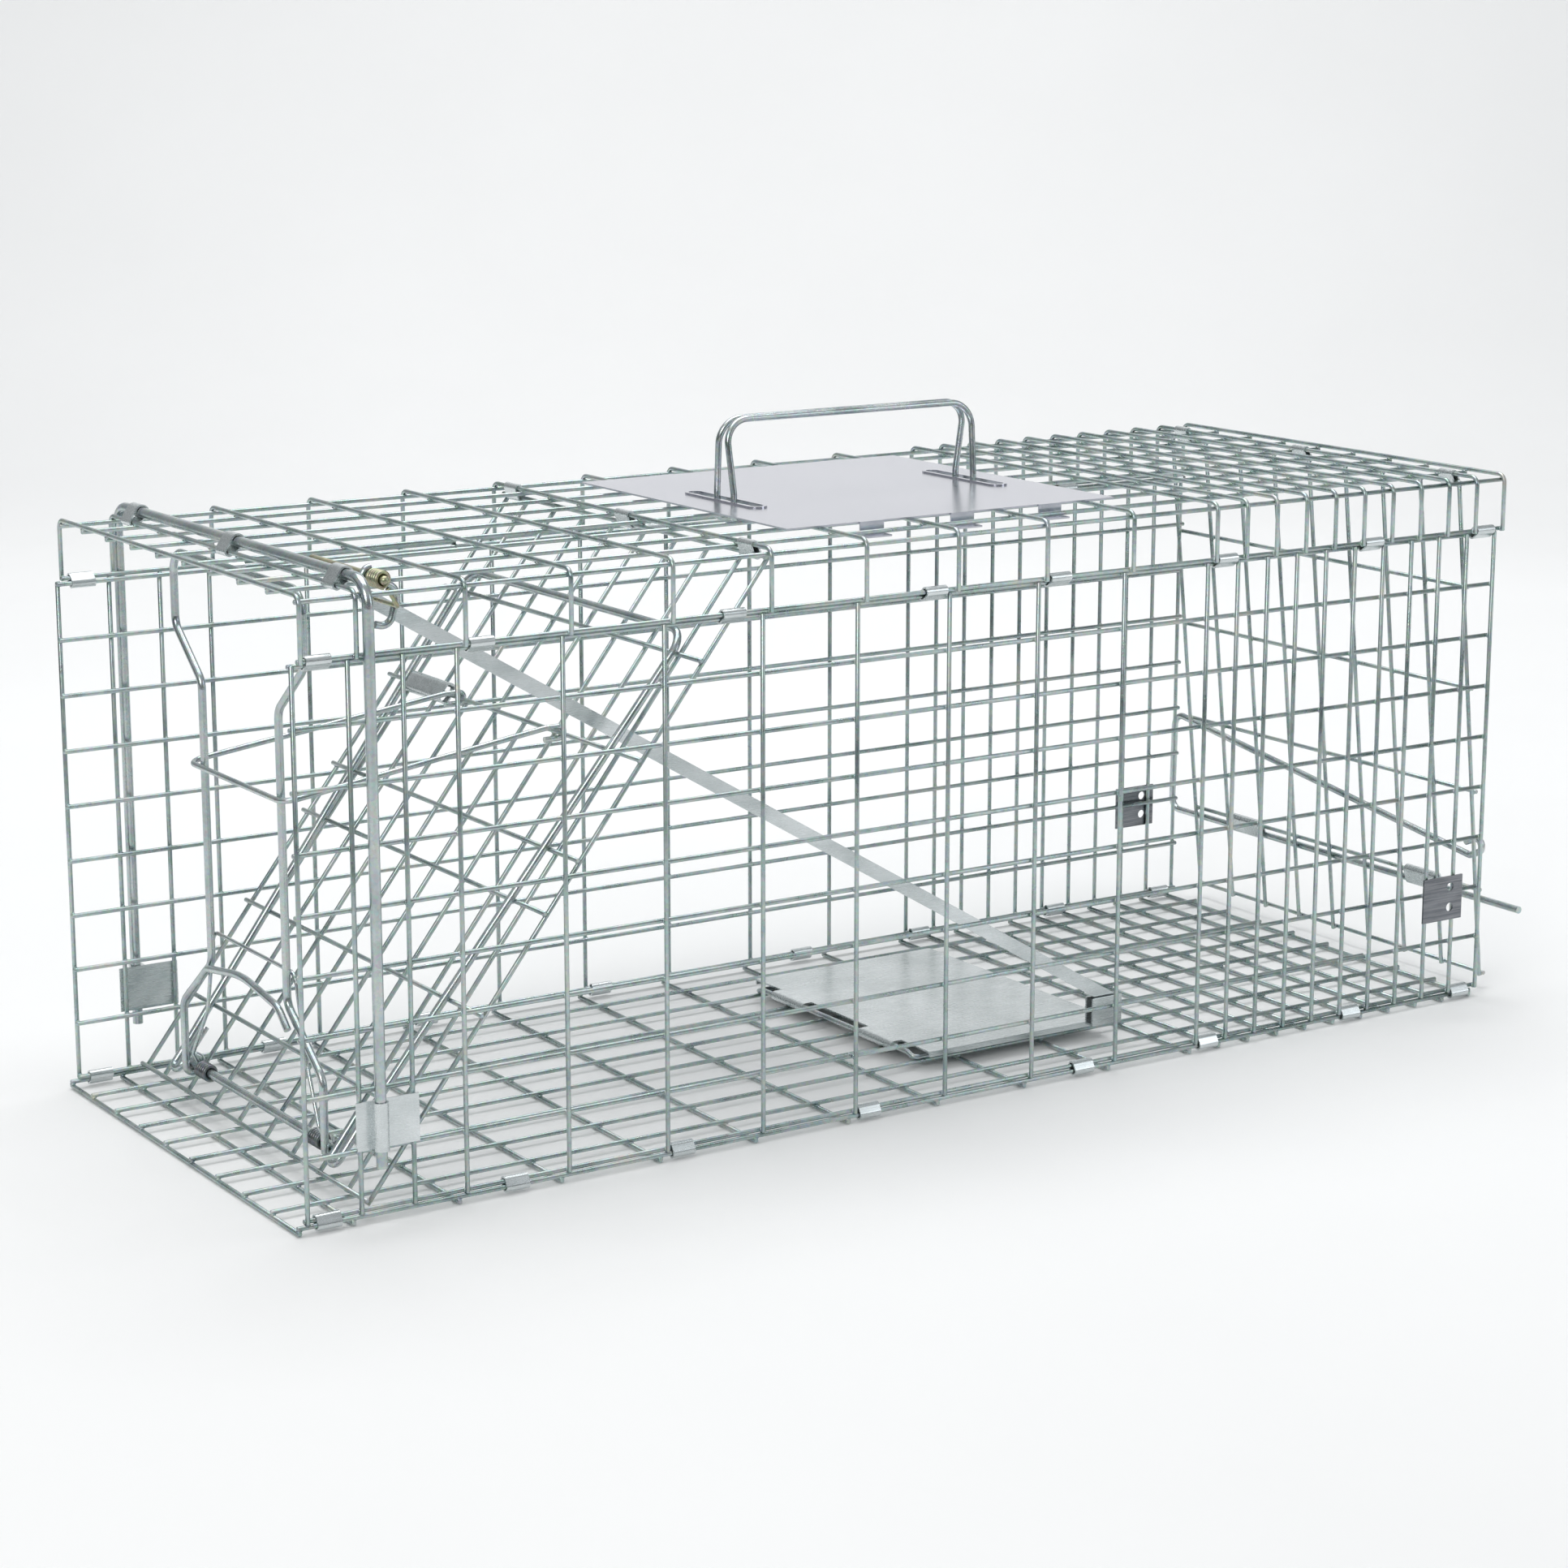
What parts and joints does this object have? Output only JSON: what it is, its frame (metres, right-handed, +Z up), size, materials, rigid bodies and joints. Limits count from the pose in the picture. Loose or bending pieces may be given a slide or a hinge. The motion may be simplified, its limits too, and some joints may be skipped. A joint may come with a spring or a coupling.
{
  "type": "live catch trap",
  "caption": "Welded-wire box trap with a sloping sprung front door, foot plate trip, top guard with carrying handle and locked rear door.",
  "frame": {"origin": "on the ground, in the middle of the overall box", "axes": "+X from the sloping front door to the rear door, +Y to the side where the lock rod is bent, +Z up"},
  "size_m": [0.8378, 0.344, 0.3819],
  "materials": {
    "zinc_wire": "zinc-plated round wire",
    "zinc_sheet": "zinc-plated sheet",
    "olive_zinc": "yellow-passivated zinc",
    "dark_zinc": "dark polished zinc sheet",
    "guard_sheet": "smooth pale coated sheet"
  },
  "bodies": {
    "cage": {"floor_panel": "zinc_wire", "near_side_panel": "zinc_wire", "far_side_panel": "zinc_wire", "top_panel": "zinc_wire", "near_floor_clips": "zinc_sheet", "far_floor_clips": "zinc_sheet", "near_top_clips": "zinc_sheet", "far_top_clips": "zinc_sheet", "brace_rod": "zinc_wire", "brace_strap_clips": "zinc_sheet", "near_brace_bracket": "zinc_sheet", "far_brace_bracket": "zinc_sheet", "front_door_hinge_clips": "zinc_sheet", "latch_rod": "olive_zinc", "trigger_pivot_wire": "zinc_wire", "guard_plate": "guard_sheet", "rear_door_hinge_clips": "zinc_sheet", "near_lock_bracket": "dark_zinc", "far_lock_bracket": "dark_zinc"},
    "front_door": {"front_door_mesh": "zinc_wire", "lock_frame": "zinc_wire", "pivot_rod": "zinc_wire", "catch_sleeve": "zinc_sheet"},
    "prop": {"prop_frame": "zinc_wire", "prop_stay": "zinc_wire", "prop_spring_coils": "dark_zinc", "prop_spring_bail": "zinc_wire"},
    "mid_bail": {"mid_bail": "zinc_wire"},
    "latch": {"latch_hook": "zinc_wire", "latch_spring": "olive_zinc"},
    "foot_plate": {"trigger_plate": "zinc_sheet", "trigger_link_lug": "zinc_sheet"},
    "link": {"trigger_link": "zinc_sheet"},
    "carry_handle": {"handle": "zinc_wire"},
    "rear_door": {"rear_door_mesh": "zinc_wire", "rear_door_sleeves": "zinc_sheet"},
    "lock_rod": {"rear_lock_rod": "zinc_wire"}
  },
  "joints": [
    {"name": "front_door_hinge", "type": "hinge", "parent": "cage", "child": "front_door", "pos_m": [-0.13001, 0, 0.3253], "axis": [0, 1, 0], "range_deg": [0, 8]},
    {"name": "prop_pivot", "type": "hinge", "parent": "front_door", "child": "prop", "pos_m": [-0.36798, 0, 0.02201], "axis": [0, 1, 0], "range_deg": [0, 36]},
    {"name": "mid_bail_pivot", "type": "hinge", "parent": "front_door", "child": "mid_bail", "pos_m": [-0.20957, 0, 0.22325], "axis": [0, 1, 0], "range_deg": [-40, 0]},
    {"name": "foot_plate_hinge", "type": "hinge", "parent": "cage", "child": "foot_plate", "pos_m": [0.01199, 0, 0.0089], "axis": [0, -1, 0], "range_deg": [0, 5]},
    {"name": "link_pivot", "type": "hinge", "parent": "foot_plate", "child": "link", "pos_m": [0.14699, -0.102, 0.025], "axis": [0, -1, 0], "range_deg": [-3.62, 0]},
    {"name": "latch_pivot", "type": "hinge", "parent": "cage", "child": "latch", "pos_m": [-0.35501, -0.12, 0.3321], "axis": [0, 1, 0], "range_deg": [0, 36.14]},
    {"name": "handle_fold", "type": "hinge", "parent": "cage", "child": "carry_handle", "pos_m": [0.02099, 0, 0.322], "axis": [1, 0, 0], "range_deg": [-25, 25]},
    {"name": "rear_door_hinge", "type": "hinge", "parent": "cage", "child": "rear_door", "pos_m": [0.38299, 0, 0.3253], "axis": [0, -1, 0], "range_deg": [0, 75]},
    {"name": "lock_rod_slide", "type": "slide", "parent": "rear_door", "child": "lock_rod", "axis": [0, 1, 0], "range_m": [0, 0.06]}
  ],
  "couplings": [
    {"joint": "prop_pivot", "follows": "front_door_hinge", "ratio": 4.5},
    {"joint": "mid_bail_pivot", "follows": "front_door_hinge", "ratio": -5},
    {"joint": "link_pivot", "follows": "foot_plate_hinge", "ratio": -0.6844},
    {"joint": "latch_pivot", "follows": "foot_plate_hinge", "ratio": 7.1881}
  ]
}
